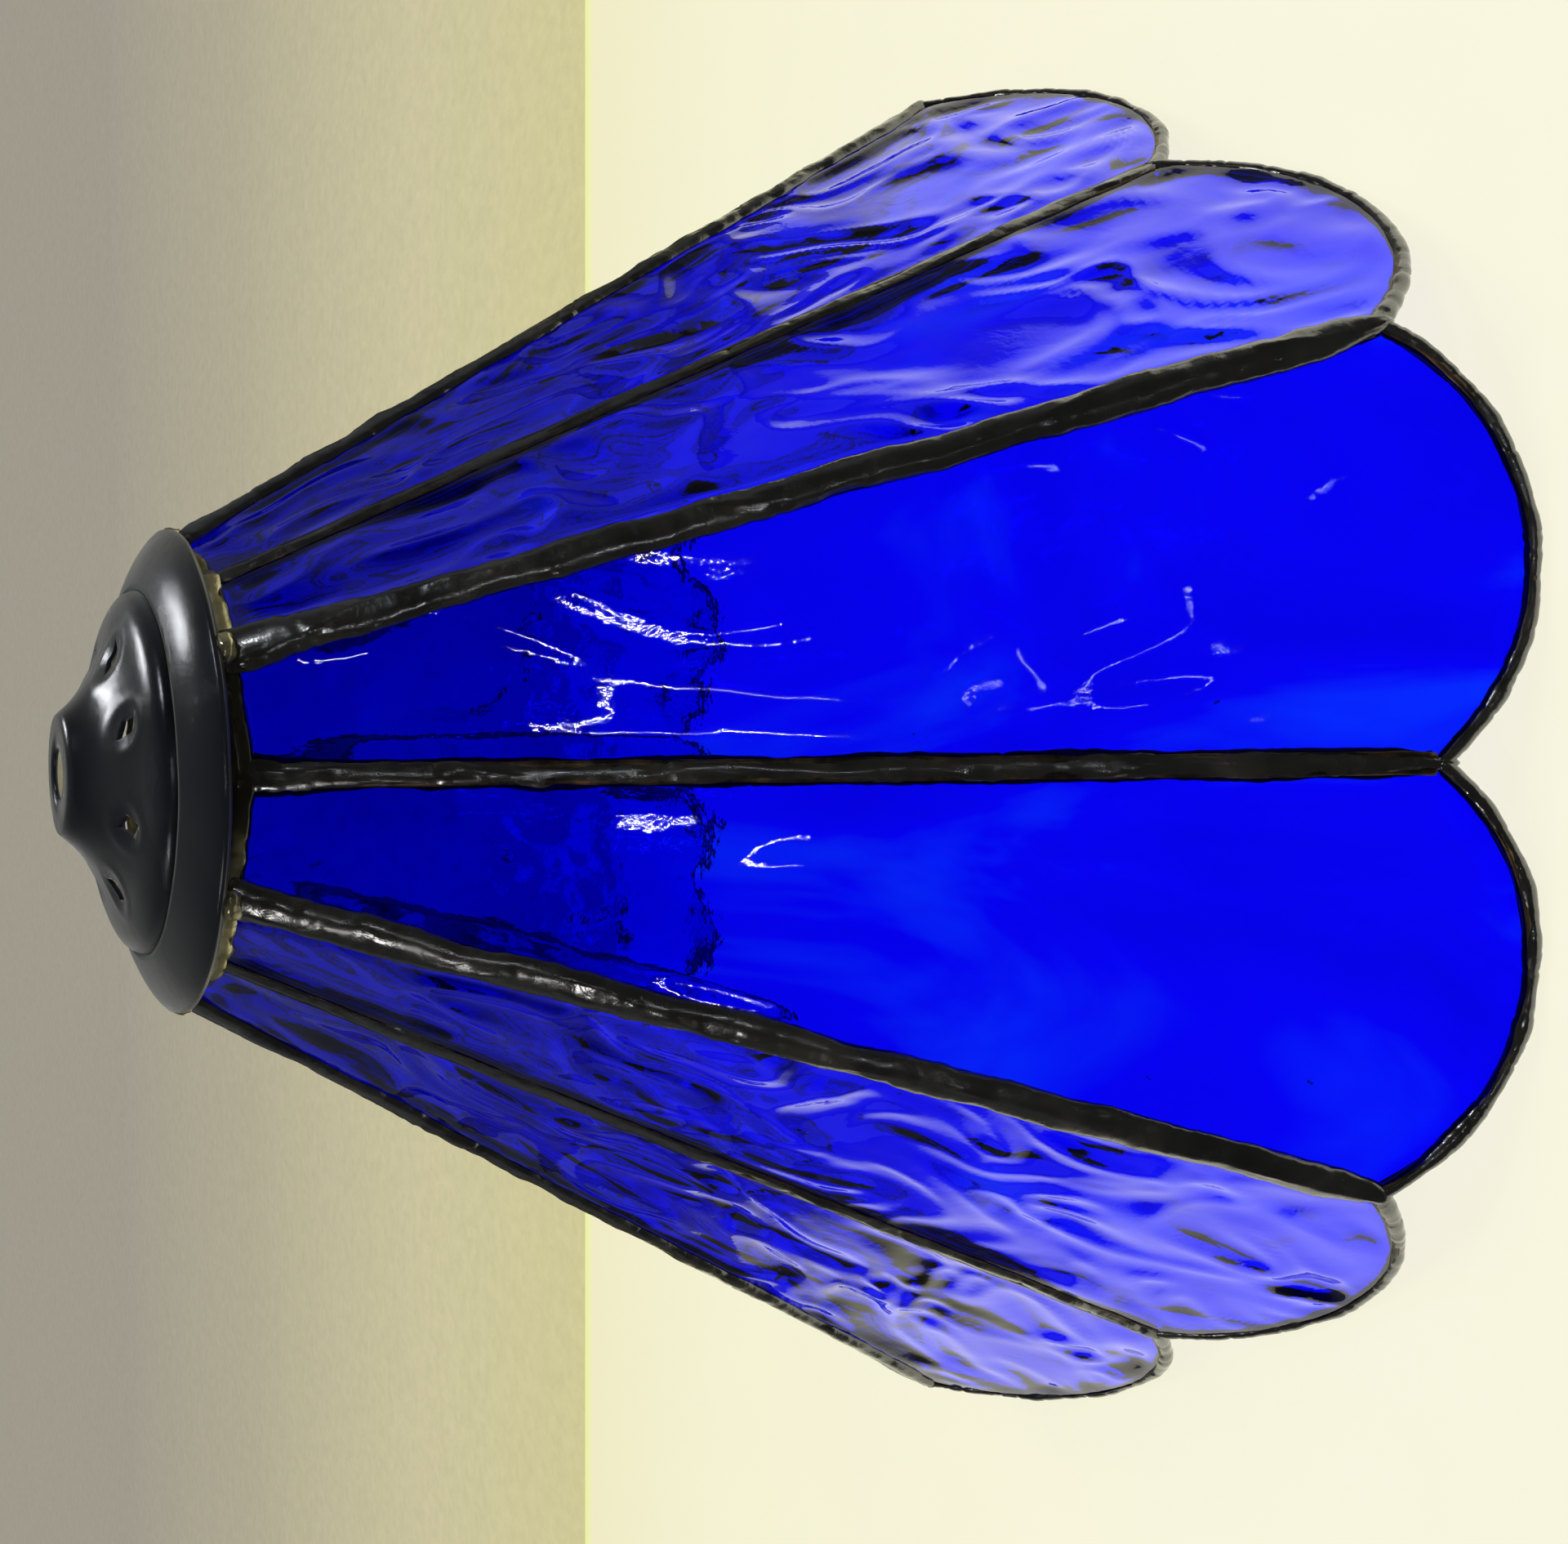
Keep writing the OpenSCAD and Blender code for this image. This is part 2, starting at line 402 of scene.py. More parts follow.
def cap_black():
    """Spun brass under black patina: faint turning lines, smears of a duller grey, rubbed specks."""
    n = Nodes("cap")
    space = n.coordinates()
    clouds = n.noise(space, 26, 5, 0.55, 0.6)
    colour = n.ramp(
        clouds,
        (0.30, (0.005, 0.006, 0.010)),
        (0.52, (0.009, 0.011, 0.017)),
        (0.75, (0.018, 0.020, 0.025)),
    )
    specks = n.ramp(n.noise(space, 520, 5, 0.75), (0.68, (0, 0, 0)), (0.76, (1, 1, 1)))
    flattened = n.coordinates("Object", (1, 1, 3))
    smear = n.ramp(n.noise(flattened, 38, 3, 0.5, 1.5), (0.60, (0, 0, 0)), (0.72, (1, 1, 1)))
    colour = n.mix(n.math("MULTIPLY", specks, smear), colour, (0.19, 0.20, 0.22))
    turning = n.noise(n.coordinates("Object", (0.02, 0.02, 1)), 2600, 2, 0.6)
    roughness = n.math("ADD", n.values(clouds, 0.16, 0.28), n.values(smear, 0.0, 0.16, 0.0, 1.0))
    normal = n.bump(turning, 0.02 * MM, 0.5)
    normal = n.bump(n.noise(space, 90, 4, 0.6), 0.12 * MM, 0.8, normal)
    upright = n.coordinates("Object", (1, 1, 0.4))
    normal = n.bump(n.noise(upright, 900, 5, 0.75), 0.05 * MM, 0.8, normal)
    gloss = {"Metallic": 0.35, "Specular_IOR_Level": 0.6, "Sheen_Weight": 0.3, "Sheen_Roughness": 0.35}
    return n.finish(n.principled(colour, roughness, normal, **gloss))


def cap_brass():
    """The cap's inside: bare brass gone dull, with flux stains."""
    n = Nodes("cap_inside")
    space = n.coordinates()
    stains = n.noise(space, 70, 5, 0.6, 0.8)
    colour = n.ramp(
        stains,
        (0.3, (0.22, 0.20, 0.10)),
        (0.5, (0.38, 0.35, 0.20)),
        (0.7, (0.50, 0.47, 0.27)),
    )
    roughness = n.values(n.noise(space, 160, 3), 0.4, 0.65)
    normal = n.bump(n.noise(space, 400, 3), 0.05 * MM)
    return n.finish(n.principled(colour, roughness, normal, Metallic=0.3))


GLASS = cobalt_glass()
SOLDER = black_solder(
    "solder",
    dark=(0.006, 0.006, 0.007),
    middle=(0.012, 0.012, 0.012),
    tarnish=(0.030, 0.029, 0.023),
    metallic=0.2,
)
RING_SOLDER = black_solder(
    "ring_solder",
    dark=(0.008, 0.008, 0.007),
    middle=(0.03, 0.028, 0.02),
    tarnish=(0.10, 0.095, 0.06),
    metallic=0.8,
    # Pale tin, painted on the ring's sides as a reflection of the bright sheet.
    reflected_tin=(0.50, 0.46, 0.28),
)
FOIL = foil_metal()
CAP = cap_black()
BRASS = cap_brass()


# ---------------------------------------------------------------- glass petals

GRID = 1.4 * MM
COLUMNS = 56
TIP_ROWS = 30
TIP_END = math.radians(86)
FACE_SEEDS = {"outside": 1.0, "inside": 41.0}
WAVE_HEIGHT = {"outside": 1.45 * MM, "inside": 0.55 * MM}
WAVE_FADE = 7 * MM
RIDGE_LEAN = 0.24

# Sizes of the waves across and along a petal, in millimetres.
BEND_SIZE = (28, 34)
BROAD_SIZE = (15, 30)
RIDGE_SIZE = (11, 20)
SMALL_SIZE = (4.5, 8)
STRENGTH_SIZE = (30, 40)
RIDGE_ROUNDING = 0.05

# The two front petals were cut from a calmer sheet, with broader and lower waves.
CALM_PETALS = (0, PETALS - 1)
CALM_HEIGHT = 0.75
CALM_STRETCH = 1.6


def petal_rows():
    """Distances from the apex of the rows of a petal's grid, closer together towards the tip."""
    count = round((TIP_Y - TOP_Y) / GRID)
    straight = [TOP_Y + (TIP_Y - TOP_Y) * j / count for j in range(count)]
    round_end = [TIP_Y + TIP_R * math.sin(TIP_END * j / TIP_ROWS) for j in range(TIP_ROWS + 1)]
    return straight + round_end


def sheet_noise(x, y, size, seed):
    return noise.noise(Vector((x / size[0], y / size[1], seed)))


def glass_wave(x, y, petal, side):
    """Height of the rolled glass's surface. Its soft ridges snake and fork, leaning a little
    across the petal."""
    seed = FACE_SEEDS[side] + 3.7 * petal
    lean_x, lean_y = math.cos(RIDGE_LEAN), math.sin(RIDGE_LEAN)
    px = (x * lean_x + y * lean_y) / MM
    py = (y * lean_x - x * lean_y) / MM
    if petal in CALM_PETALS:
        px, py = px / CALM_STRETCH, py / CALM_STRETCH
    bend = noise.noise_vector(Vector((px / BEND_SIZE[0], py / BEND_SIZE[1], seed))) * 13
    qx, qy = px + bend.x, py + 1.5 * bend.y
    broad = sheet_noise(qx, qy, BROAD_SIZE, seed)
    ridge = 0.5 - math.hypot(sheet_noise(qx, qy, RIDGE_SIZE, seed + 9), RIDGE_ROUNDING)
    small = sheet_noise(qx, qy, SMALL_SIZE, seed + 5)
    strong = 0.75 + 0.8 * sheet_noise(px, py, STRENGTH_SIZE, seed + 13)
    height = 0.9 * broad + strong * (1.8 * ridge + 0.12 * small) - 0.5
    return height * WAVE_HEIGHT[side] * (CALM_HEIGHT if petal in CALM_PETALS else 1)


def edge_distance(x, y):
    sideways = half_width(y) - abs(x)
    tipwards = TIP_R - math.hypot(x, y - TIP_Y) if y > TIP_Y else sideways
    return min(sideways, tipwards, y - TOP_Y)


def glass_petal(i):
    plane = PetalPlane(i)
    rows = petal_rows()
    points, flat = [], []
    for side, sign in (("outside", -1), ("inside", 1)):
        for y in rows:
            w = half_width(y)
            for c in range(COLUMNS + 1):
                x = w * (2 * c / COLUMNS - 1)
                fade = smooth_step(0.5 * MM, WAVE_FADE, edge_distance(x, y))
                z = sign * (GLASS_T / 2 + fade * glass_wave(x, y, i, side))
                points.append(plane.place(x, y, z))
                flat.append((x, y))
    per_row = COLUMNS + 1
    per_side = per_row * len(rows)
    faces = []
    for j in range(len(rows) - 1):
        for c in range(COLUMNS):
            a = j * per_row + c
            faces.append((a, a + per_row, a + per_row + 1, a + 1))
            b = a + per_side
            faces.append((b, b + 1, b + per_row + 1, b + per_row))
    rim = list(range(per_row))
    rim += [j * per_row + COLUMNS for j in range(1, len(rows))]
    rim += [(len(rows) - 1) * per_row + c for c in range(COLUMNS - 1, -1, -1)]
    rim += [j * per_row for j in range(len(rows) - 2, 0, -1)]
    for a, b in zip(rim, rim[1:] + rim[:1]):
        faces.append((a, b, b + per_side, a + per_side))
    name = f"glass_{i + 1:02d}"
    piece = add_piece(name, points, faces, [GLASS], [f"petal_{i + 1:02d}"])
    layer = piece.data.uv_layers.new(name="sheet")
    shift = Vector((0.11 * (i % 4), 0.37 * (i // 4)))
    for loop in piece.data.loops:
        x, y = flat[loop.vertex_index]
        layer.data[loop.index].uv = (x + shift.x, y + shift.y)


# ---------------------------------------------------------------- foil round each petal


def petal_outline(step):
    """Points of a petal's outline, each with its inward direction, in the petal's plane."""
    lean = Vector((math.sin(HALF_ANGLE), math.cos(HALF_ANGLE)))
    top_x = half_width(TOP_Y)
    tip_angle = TIP_SWEEP + 0.4 * step / TIP_R
    count = round(PETAL_EDGE / step)
    right = []
    for j in range(count):
        run = PETAL_EDGE * j / count
        right.append((Vector((top_x, TOP_Y)) + lean * run, Vector((-lean.y, lean.x))))
    arc_count = round(2 * tip_angle * TIP_R / step)
    arc = []
    for j in range(arc_count + 1):
        a = tip_angle - 2 * tip_angle * j / arc_count
        out = Vector((math.sin(a), math.cos(a)))
        arc.append((Vector((0, TIP_Y)) + out * TIP_R, -out))
    left = [(Vector((-p.x, p.y)), Vector((-d.x, d.y))) for p, d in reversed(right)]
    top_count = round(2 * top_x / step)
    top = []
    for j in range(1, top_count):
        top.append((Vector((-top_x + 2 * top_x * j / top_count, TOP_Y)), Vector((0, 1))))
    return right + arc + left + top


def foil_wrap(i):
    plane = PetalPlane(i)
    outline = petal_outline(1.6 * MM)
    half = GLASS_T / 2
    points = []
    for j, (p, inward) in enumerate(outline):
        outer_lap = FOIL_LAP * (1 + 0.16 * wander(j / 5, i))
        inner_lap = FOIL_LAP * (1 + 0.16 * wander(j / 5, i + 20))
        crimp = 0.06 * MM * (1 + wander(j / 1.3, i + 40))
        outside = -half - FOIL_T - crimp
        inside = half + FOIL_T + crimp
        edge = -FOIL_T
        section = (
            (outer_lap, outside), (edge, outside), (edge, inside), (inner_lap, inside),
            (inner_lap, half), (0, half), (0, -half), (outer_lap, -half),
        )
        for inset, z in section:
            q = p + inward * inset
            points.append(plane.place(q.x, q.y, z))
    faces = loft_faces(len(outline), 8, closed=True)
    add_piece(f"foil_{i + 1:02d}", points, faces, [FOIL], [f"foil_wrap_{i + 1:02d}"])


# ---------------------------------------------------------------- solder


class Creases:
    """Dents across a run of solder, where the iron was lifted and set down again."""

    def __init__(self, seed, length, spacing, depth, width):
        rng = random.Random(seed)
        self.marks = []
        at = rng.uniform(0.3, 1) * spacing
        while at < length:
            slant = rng.uniform(-0.8, 0.8)
            self.marks.append((at, slant, depth * rng.uniform(0.4, 1), width * rng.uniform(0.7, 1.4)))
            at += spacing * rng.uniform(0.4, 1.7)

    def depth(self, run, aside):
        return sum(d * hump(run - at - slant * aside, w) for at, slant, d, w in self.marks)


SEAM_STEP_LENGTH = 0.9 * MM
SEAM_AROUND = 30
SEAM_WIDTH = 1.05
SEAM_HEIGHT = 0.70
SEAM_END = 9 * MM
END_ROUNDING = 4 * MM


def solder_seam(k):
    """A lumpy bead along seam k. Its two edges wander, and a ridge snakes along its face."""
    corner = is_corner(k)
    base = CORNER_BEAD_R if corner else MIDDLE_BEAD_R
    along = seam_dir(k)
    a = seam_azimuth(k)
    aside = Vector((-math.sin(a), math.cos(a), 0))
    out = along.cross(aside)
    if out.dot(Vector((math.cos(a), math.sin(a), 0))) < 0:
        out = -out
    start = TOP_RUN - JOINT_GAP
    length = NOTCH_RUN + NOTCH_WEB - start
    creases = Creases(100 + k, length, 21 * MM, 0.26 * MM, 0.5 * MM)
    rings = round(length / SEAM_STEP_LENGTH)
    points = []
    for j in range(rings + 1):
        run = length * j / rings
        mm = run / MM
        centre = on_seam(k, start + run)
        left_to_go = length - run
        flare = (1 + 0.28 * hump(run, SEAM_END)) * (1 - 0.5 * hump(left_to_go, SEAM_END))
        left = SEAM_WIDTH + 0.15 * wander(mm / 17, k) + 0.05 * wander(mm / 4.5, k + 30)
        right = SEAM_WIDTH + 0.15 * wander(mm / 19, k + 60) + 0.05 * wander(mm / 5, k + 90)
        left *= base * flare
        right *= base * flare
        height = base * (SEAM_HEIGHT + 0.09 * wander(mm / 13, k + 120))
        ridge_at = math.pi / 2 + 0.75 * wander(mm / 30, k + 150)
        ridge_height = (0.34 + 0.22 * wander(mm / 10, k + 180)) * MM
        short_of_end = 1 - min(left_to_go / END_ROUNDING, 1)
        rounding = math.sqrt(max(1 - short_of_end ** 2, 0.02))
        for n in range(SEAM_AROUND):
            phi = 2 * math.pi * n / SEAM_AROUND
            wide = left if math.cos(phi) < 0 else right
            x = wide * math.cos(phi)
            y = height * math.sin(phi)
            spot = centre + aside * x + out * y
            swell = 1 + 0.035 * lumps(spot, 4 * MM, k) + 0.02 * lumps(spot, 1.7 * MM, k)
            turn = math.atan2(math.sin(phi - ridge_at), math.cos(phi - ridge_at))
            push = ridge_height * hump(turn, 0.17) - creases.depth(run, x)
            offset = (aside * x + out * y) * swell
            offset += offset.normalized() * push
            points.append(centre + offset * rounding)
    faces = loft_faces(rings + 1, SEAM_AROUND, closed=False)
    kind = "corner" if corner else "middle"
    number = k // 2 + 1
    add_piece(f"solder_{kind}_{number}", points, faces, [SOLDER], [f"{kind}_seam_{number}"])


BEAD_STEP = 0.8 * MM
BEAD_AROUND = 20


def tip_bead(i):
    """The thin bead round petal i's tip, pleated where the foil was pressed round the curve."""
    plane = PetalPlane(i)
    sweep = TIP_SWEEP + 0.6 * MM / TIP_R
    length = 2 * sweep * TIP_R
    pleats = Creases(300 + i, length, 6.5 * MM, 0.32 * MM, 0.4 * MM)
    rings = round(length / BEAD_STEP)
    points = []
    for j in range(rings + 1):
        run = length * j / rings
        mm = run / MM
        a = -sweep + run / TIP_R
        outward = Vector((math.sin(a), math.cos(a)))
        radius = TIP_R + 0.35 * MM * wander(mm / 15, i + 10)
        thick = EDGE_BEAD_R * (0.88 + 0.12 * wander(mm / 9, i + 40) + 0.05 * wander(mm / 3, i + 70))
        for n in range(BEAD_AROUND):
            phi = 2 * math.pi * n / BEAD_AROUND
            lift = thick * math.sin(phi)
            dent = pleats.depth(run, lift)
            r = radius + (thick - dent) * math.cos(phi)
            z = (1.06 * thick - dent) * math.sin(phi)
            q = Vector((0, TIP_Y)) + outward * r
            points.append(plane.place(q.x, q.y, z))
    faces = loft_faces(rings + 1, BEAD_AROUND, closed=False)
    add_piece(f"solder_tip_{i + 1:02d}", points, faces, [SOLDER], [f"tip_bead_{i + 1:02d}"])


RING_STEPS = 26
RING_AROUND = 22
RING_WIDTH = 1.1
RING_FLOOD = 1.6


def top_ring():
    """The ring of solder under the cap's rim, folded here and there. Inside the cap it stands
    higher than it is wide, and closes the slit between the glass and the cap."""
    run = TOP_RUN - RING_BEAD_R / 4
    corners = [on_seam(k, run) for k in range(PETALS)]
    length = PETALS * (corners[1] - corners[0]).length
    folds = Creases(500, length, 19 * MM, 0.4 * MM, 1.2 * MM)
    total = PETALS * RING_STEPS
    points = []
    for j in range(total):
        k, step = divmod(j, RING_STEPS)
        centre = corners[k].lerp(corners[(k + 1) % PETALS], step / RING_STEPS)
        out = Vector((centre.x, centre.y, 0)).normalized()
        at = length * j / total
        around = 2 * math.pi * j / total
        here = Vector((math.cos(around), math.sin(around), 0)) * 9
        thick = RING_BEAD_R * (1 + 0.24 * noise.noise(here) + 0.08 * noise.noise(here * 3))
        for n in range(RING_AROUND):
            phi = 2 * math.pi * n / RING_AROUND
            lift = thick * math.sin(phi)
            if lift > 0:
                lift *= RING_FLOOD
            dent = folds.depth(at, lift)
            offset = out * (RING_WIDTH * thick - dent) * math.cos(phi)
            offset += UP * (lift - dent * math.sin(phi))
            points.append(centre + offset)
    faces = loft_faces(total, RING_AROUND, closed=True)
    add_piece("solder_ring", points, faces, [RING_SOLDER], ["top_ring"])


BLOB_R = 2.3 * MM
BLOB_AROUND = 20
BLOB_LEVELS = 10


def cap_blobs():
    """Blobs that hold the cap to the corner seams: flat on top and wider than they are high."""
    around, levels = BLOB_AROUND, BLOB_LEVELS
    points, faces = [], []
    for blob, k in enumerate(range(1, PETALS, 2)):
        a = seam_azimuth(k)
        out = Vector((math.cos(a), math.sin(a), 0))
        aside = Vector((-math.sin(a), math.cos(a), 0))
        centre = out * (CAP_R - 1.4 * MM) + UP * (RIM_Z - 1.3 * MM)
        first = len(points)
        for level in range(levels + 1):
            tilt = math.pi * level / levels
            for n in range(around):
                phi = 2 * math.pi * n / around
                direction = out * (math.sin(tilt) * math.cos(phi))
                direction += aside * (math.sin(tilt) * math.sin(phi))
                direction += UP * math.cos(tilt)
                r = BLOB_R * (1 + 0.22 * lumps(direction, 0.7, 60 + blob))
                p = centre + direction * r
                p += aside * (direction.dot(aside) * 1.1 * MM)
                p.z = min(p.z, RIM_Z + 0.25 * MM)
                points.append(p)
        faces += [tuple(first + v for v in f) for f in loft_faces(levels + 1, around, closed=False)]
    add_piece("solder_blobs", points, faces, [RING_SOLDER], ["cap_solder"])


# ---------------------------------------------------------------- vase cap

CAP_HEIGHT = cap_high.z - RIM_Z
HOLE_R = 5.55 * MM
CROWN_R = 12.4 * MM
CROWN_ROUND = 0.9 * MM
SHOULDER_R = 37.9 * MM
GROOVE_Z = 6.6 * MM
CAP_T = 0.8 * MM
CAP_AROUND = 288
CUBIC_STEPS = 18
VENTS = 8
VENT_LENGTH = 4.8 * MM
VENT_WIDTH = 3.4 * MM
VENT_RING_R = 25.6 * MM
VENT_SLANT = math.radians(28)


def cubic(points, steps, first=0):
    """Points along a cubic curve through four control points given in millimetres."""
    a, b, c, d = [Vector(p) * MM for p in points]
    made = []
    for j in range(first, steps + 1):
        t = j / steps
        s = 1 - t
        made.append(a * s ** 3 + b * (3 * s * s * t) + c * (3 * s * t * t) + d * t ** 3)
    return made


def cap_profile():
    """The cap's outer profile as (radius, height above the rim)."""
    h = CAP_HEIGHT / MM
    r = (CROWN_R + CROWN_ROUND) / MM
    crown = [Vector((radius, CAP_HEIGHT)) for radius in (HOLE_R, CROWN_R * 0.75, CROWN_R)]
    flare = [(r, h - CROWN_ROUND / MM), (16, h * 0.81), (21.5, 14.2), (30, 12)]
    flare = cubic(flare, CUBIC_STEPS)
    shoulder = cubic([(30, 12), (34.5, 10.9), (37.9, 9.6), (37.9, 6.6)], CUBIC_STEPS, 1)
    groove = [Vector((SHOULDER_R + 0.4 * MM, GROOVE_Z - 0.2 * MM))]
    flange = cubic([(38.7, 7.1), (43.5, 5.8), (48.8, 3.4), (CAP_R / MM, 1.2)], CUBIC_STEPS)
    return crown + flare + shoulder + groove + flange + [Vector((CAP_R, 0))]


def inner_profile(outer):
    """The outer profile set in by the metal's thickness."""
    made = []
    for j, p in enumerate(outer):
        t = (outer[min(j + 1, len(outer) - 1)] - outer[max(j - 1, 0)]).normalized()
        made.append(p + Vector((t.y, -t.x)) * CAP_T)
    made[0] = Vector((HOLE_R, CAP_HEIGHT - CAP_T))
    made[-1] = Vector((CAP_R - CAP_T, 0))
    return made


def vent_azimuth(j):
    return -math.pi / 2 + (j + 0.5) * 2 * math.pi / VENTS


def vent_dish(radius, azimuth):
    """How far the metal is pressed in beside the nearest vent, with a slight lip round the dish."""
    vent_step = 2 * math.pi / VENTS
    nearest = round((azimuth + math.pi / 2) / vent_step - 0.5)
    aside = radius * (azimuth - vent_azimuth(nearest))
    distance = math.hypot(radius - VENT_RING_R, aside)
    return 0.55 * MM * hump(distance, 3.4 * MM) - 0.22 * MM * hump(distance - 5.2 * MM, 1.3 * MM)


def vent_cutter():
    """Upright slanted prisms through the vents."""
    points, faces = [], []
    slope = math.tan(VENT_SLANT)
    for j in range(VENTS):
        a = vent_azimuth(j)
        out = Vector((math.cos(a), math.sin(a), 0))
        aside = Vector((-math.sin(a), math.cos(a), 0))
        first = len(points)
        for z in (RIM_Z + 5 * MM, RIM_Z + CAP_HEIGHT):
            for u, v in ((-1, -1), (1, -1), (1, 1), (-1, 1)):
                v = v * VENT_WIDTH / 2
                u = u * VENT_LENGTH / 2 + slope * v
                points.append(out * (VENT_RING_R + u) + aside * v + UP * z)
        box = ((3, 2, 1, 0), (4, 5, 6, 7), (0, 1, 5, 4), (1, 2, 6, 5), (2, 3, 7, 6), (3, 0, 4, 7))
        faces += [tuple(first + n for n in f) for f in box]
    mesh = bpy.data.meshes.new("vent_cutter")
    mesh.from_pydata([tuple(p) for p in points], [], faces)
    cutter = bpy.data.objects.new("vent_cutter", mesh)
    bpy.context.collection.objects.link(cutter)
    return cutter


def vase_cap():
    outer = cap_profile()
    inner = inner_profile(outer)
    section = outer + inner[::-1]
    points = []
    for n in range(CAP_AROUND):
        a = 2 * math.pi * n / CAP_AROUND
        for p in section:
            spot = Vector((p.x * math.cos(a), p.x * math.sin(a), RIM_Z + p.y))
            dish = vent_dish(p.x, a) if p.x > CROWN_R else 0
            dent = 0.10 * MM * lumps(spot, 16 * MM, 3) if p.x > CROWN_R else 0
            spot.z -= dish + dent
            points.append(spot)
    around = len(section)
    faces, kinds = [], []
    for n in range(CAP_AROUND):
        here, there = n * around, (n + 1) % CAP_AROUND * around
        for j in range(around):
            after = (j + 1) % around
            faces.append((here + j, here + after, there + after, there + j))
            kinds.append(1 if len(outer) <= j < around - 1 else 0)
    cap = add_piece("cap", points, faces, [CAP, BRASS], ["vase_cap"], kinds)
    cutter = vent_cutter()
    cut = cap.modifiers.new("vents", "BOOLEAN")
    cut.object = cutter
    cut.solver = "EXACT"
    cut.operation = "DIFFERENCE"
    shown = cap.evaluated_get(bpy.context.evaluated_depsgraph_get())
    mesh = bpy.data.meshes.new_from_object(shown)
    cap.modifiers.clear()
    cap.data = mesh
    bpy.data.objects.remove(cutter)


# ---------------------------------------------------------------- floor, light and room

# The sheet's edges. Its far edge is turned a little from the X axis.
SHEET_BACK = 0.276
SHEET_TURN = -0.0322
SHEET_HALF = 0.9
SHEET_FRONT = -1.2
GROUND_DROP = 3 * MM
GROUND_HALF = 5.0

# The part of the sheet that the shade mirrors. Its level falls to MIRRORED_FAR on both sides,
# between MIRRORED_NEAR and MIRRORED_HALF from the middle.
MIRRORED_FRONT = -0.19
MIRRORED_NEAR = 0.27
MIRRORED_HALF = 0.72
MIRRORED_FAR = 0.1

# Painted light by distance from the sheet's far edge, in metres: the sheet's glow turns yellow at that
# edge, and the plaster's glow is brightest there and fades and turns bluer away from it.
SHEET_GLOW = (
    (0.000, (0.88, 0.94, 0.47)),
    (0.004, (0.91, 0.95, 0.62)),
    (0.007, (0.92, 0.90, 0.76)),
    (0.12, (0.96, 0.96, 0.88)),
    (0.40, (1, 1, 1)),
)
PLASTER_GLOW = (
    (0.00, (1, 1, 0.92)),
    (0.20, (0.94, 0.93, 1)),
    (0.55, (0.70, 0.69, 0.86)),
    (1.00, (0.57, 0.57, 0.80)),
)

# Strength of a surface's glow to the camera, through the glass, and mirrored.
SHEET_LEVELS = (0.97, 1.55, 1.45)
PLASTER_LEVELS = (0.95, 1.3, 0.18)
MATT_SHARE = 0.1

SEEN_ROOM = (0.37, 0.35, 0.29, 1)
MIRRORED_ROOM = (0.92, 0.97, 1.0, 1)
MIRRORED_ROOM_LEVEL = 0.16
LIT_POINT = Vector((0, -0.08, 0.13))


def floor_part(name, corners, z, material, mirrored):
    """One flat part of the floor. The shade's glossy surfaces mirror it only if mirrored."""
    mesh = bpy.data.meshes.new(name)
    mesh.from_pydata([(x, y, z) for x, y in corners], [], [(0, 1, 2, 3)])
    mesh.materials.append(material)
    made = bpy.data.objects.new(name, mesh)
    made.visible_glossy = mirrored
    bpy.context.collection.objects.link(made)


def pale_surface(name, colour, levels, glow, grain_size, contrast, bump):
    """A pale surface that glows, as one in strong light does. Its levels are the light that the
    camera gets from it, that passes through the glass, and that is mirrored."""
    n = Nodes(name)
    space = n.coordinates()
    grain = n.noise(space, grain_size, 5, 0.6)
    tone = n.ramp(grain, (0.3, tuple(c * (1 - contrast) for c in colour)), (0.7, colour))
    place = n.add("SeparateXYZ")
    n.join(space, place.inputs["Vector"])
    slant = n.math("MULTIPLY", place.outputs["X"], SHEET_TURN)
    beyond = n.math("SUBTRACT", n.math("SUBTRACT", place.outputs["Y"], slant), SHEET_BACK)
    # Painted light: the surface's colour is brightened and tinted by its distance from the sheet's far
    # edge.
    tone = n.mix(1.0, tone, n.ramp(n.math("ABSOLUTE", beyond), *glow), "MULTIPLY")
    matt = n.add("BsdfDiffuse")
    n.join(n.mix(1.0, tone, (MATT_SHARE,) * 3, "MULTIPLY"), matt.inputs["Color"])
    n.join(n.bump(grain, bump), matt.inputs["Normal"])
    light = n.add("Emission")
    n.join(tone, light.inputs["Color"])
    path = n.add("LightPath")
    seen, through, mirrored = levels
    level = n.values(path.outputs["Is Camera Ray"], through, seen, 0.0, 1.0)
    reflected = n.math("SUBTRACT", path.outputs["Is Glossy Ray"], path.outputs["Is Transmission Ray"])
    reflected = n.math("MAXIMUM", reflected, 0)
    aside = n.math("ABSOLUTE", place.outputs["X"])
    faded = n.values(aside, mirrored, MIRRORED_FAR, MIRRORED_NEAR, MIRRORED_HALF)
    change = n.math("MULTIPLY", reflected, n.math("SUBTRACT", faded, through))
    level = n.math("ADD", level, change)
    n.join(level, light.inputs["Strength"])
    both = n.add("AddShader")
    n.join(matt.outputs["BSDF"], both.inputs[0])
    n.join(light.outputs["Emission"], both.inputs[1])
    return n.finish(both.outputs["Shader"])


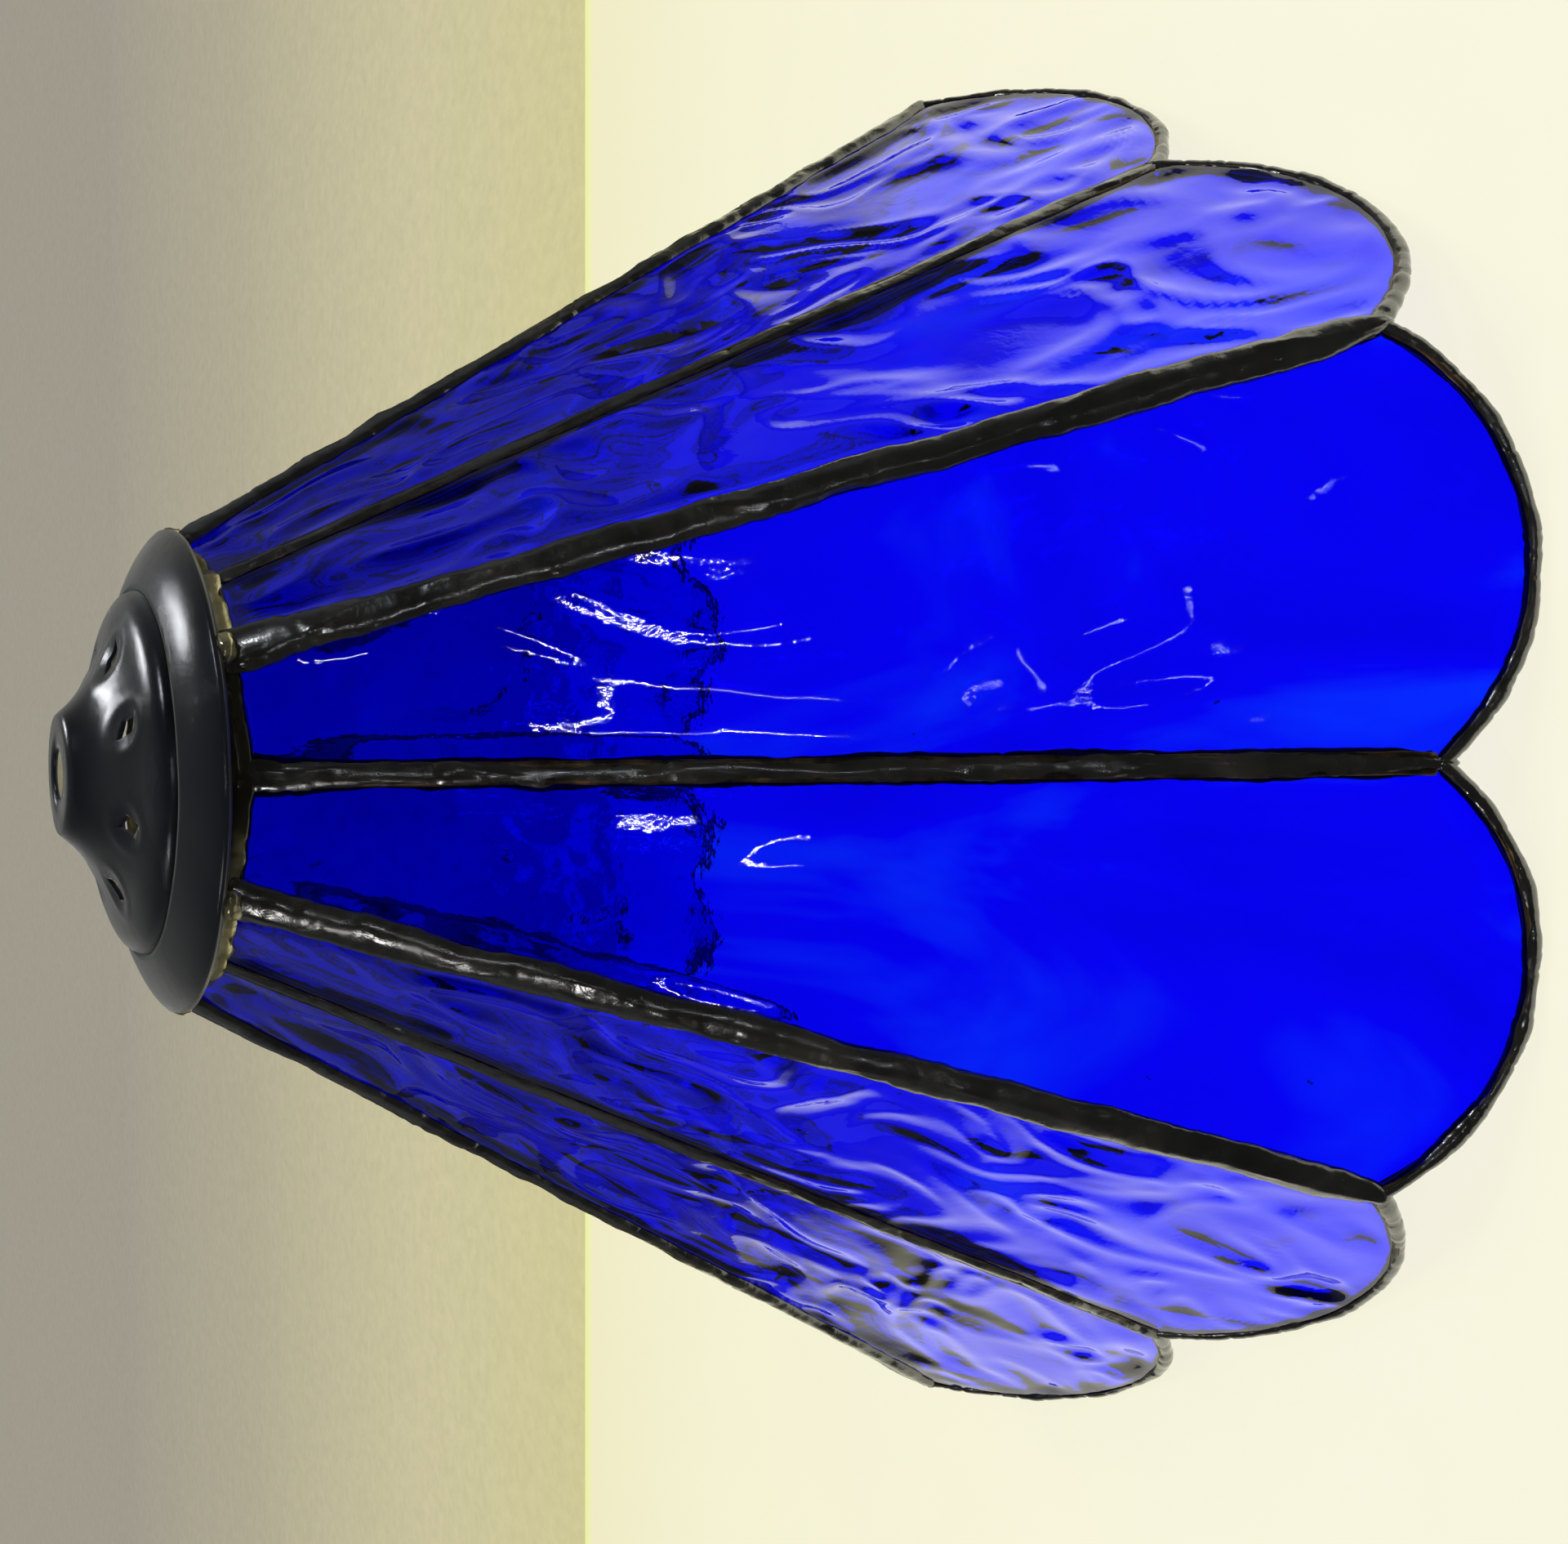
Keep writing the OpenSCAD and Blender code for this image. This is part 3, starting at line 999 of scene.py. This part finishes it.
def add_stage():
    """A white sheet on plastered ground. The picture's left part looks past the sheet's far edge."""
    sheet = pale_surface("white_sheet", (0.90, 0.88, 0.71), SHEET_LEVELS, SHEET_GLOW, 30, 0.01, 0.05 * MM)
    plaster = pale_surface("plaster", (0.64, 0.60, 0.35), PLASTER_LEVELS, PLASTER_GLOW, 160, 0.10, 0.8 * MM)
    left, right = SHEET_BACK - SHEET_TURN * SHEET_HALF, SHEET_BACK + SHEET_TURN * SHEET_HALF
    h, m, f, s = SHEET_HALF, MIRRORED_FRONT, SHEET_FRONT, MIRRORED_HALF
    left_in, right_in = SHEET_BACK - SHEET_TURN * s, SHEET_BACK + SHEET_TURN * s
    floor_part("sheet", [(-s, m), (s, m), (s, right_in), (-s, left_in)], 0, sheet, True)
    floor_part("sheet_left", [(-h, m), (-s, m), (-s, left_in), (-h, left)], 0, sheet, False)
    floor_part("sheet_right", [(s, m), (h, m), (h, right), (s, right_in)], 0, sheet, False)
    floor_part("sheet_front", [(-h, f), (h, f), (h, m), (-h, m)], 0, sheet, False)
    g = GROUND_HALF
    floor_part("ground", [(-g, m), (g, m), (g, g), (-g, g)], -GROUND_DROP, plaster, True)
    floor_part("ground_front", [(-g, -g), (g, -g), (g, m), (-g, m)], -GROUND_DROP, plaster, False)


def add_world():
    """A pale grey room. What glossy surfaces mirror of it is darker in front and overhead."""
    n = Nodes("room", "World")
    place = n.add("SeparateXYZ")
    n.join(n.add("TexCoord").outputs["Generated"], place.inputs["Vector"])
    behind = n.values(place.outputs["Y"], 0.1, 1.0, -0.45, 0.15, "SMOOTHSTEP")
    low = n.values(place.outputs["Z"], 1.0, 0.1, 0.15, 0.55, "SMOOTHSTEP")
    level = n.math("MULTIPLY", n.math("MULTIPLY", behind, low), MIRRORED_ROOM_LEVEL)
    mirrored = n.add("Background")
    mirrored.inputs["Color"].default_value = MIRRORED_ROOM
    n.join(level, mirrored.inputs["Strength"])
    seen = n.add("Background")
    seen.inputs["Color"].default_value = SEEN_ROOM
    is_glossy = n.add("LightPath").outputs["Is Glossy Ray"]
    room = n.choose(is_glossy, seen.outputs["Background"], mirrored.outputs["Background"])
    bpy.context.scene.world = n.finish(room)


def add_area(name, azimuth, elevation, distance, size, power, colour, mirrored=True):
    """A round soft light, or an upright strip when size is a pair, aimed at the shade's middle."""
    data = bpy.data.lights.new(name, "AREA")
    if isinstance(size, tuple):
        data.shape = "RECTANGLE"
        data.size, data.size_y = size
    else:
        data.shape = "DISK"
        data.size = size
    data.energy = power
    data.color = colour
    light = bpy.data.objects.new(name, data)
    a, e = math.radians(azimuth), math.radians(elevation)
    toward = Vector((math.cos(a) * math.cos(e), math.sin(a) * math.cos(e), math.sin(e)))
    light.location = LIT_POINT + toward * distance
    light.rotation_euler = (-toward).to_track_quat("-Z", "Y").to_euler()
    light.visible_glossy = mirrored
    bpy.context.collection.objects.link(light)


def add_lights():
    """Thin upright strips and small disks give the glass its glints and the cap its highlights.
    Wide lights, which nothing mirrors, fill the shade."""
    add_area("lamp", -89.5, 33, 1.4, (0.004, 0.36), 0.7, (0.93, 0.96, 1.0))
    add_area("low_lamp", -76, 15, 1.4, (0.004, 0.10), 0.05, (0.93, 0.96, 1.0))
    add_area("back", 67, 42, 1.2, (0.05, 0.22), 1.6, (0.95, 0.97, 1.0))
    add_area("window", -12, 52, 1.2, 0.08, 2.4, (0.90, 0.95, 1.0))
    add_area("side", -150, 40, 1.3, 0.12, 1.6, (1.0, 0.98, 0.95))
    add_area("right", 28, 48, 1.5, 0.9, 1.2, (0.96, 0.98, 1.0), mirrored=False)
    add_area("left", 158, 48, 1.5, 0.9, 1.0, (1.0, 0.98, 0.96), mirrored=False)
    add_area("top", 75, 72, 1.3, 0.8, 6.0, (1.0, 0.99, 0.96), mirrored=False)


# ---------------------------------------------------------------- build

for i in range(PETALS):
    glass_petal(i)
    foil_wrap(i)
    tip_bead(i)
    solder_seam(i)
top_ring()
cap_blobs()
vase_cap()
add_stage()
add_world()
add_lights()
bpy.context.scene.view_settings.view_transform = "Standard"
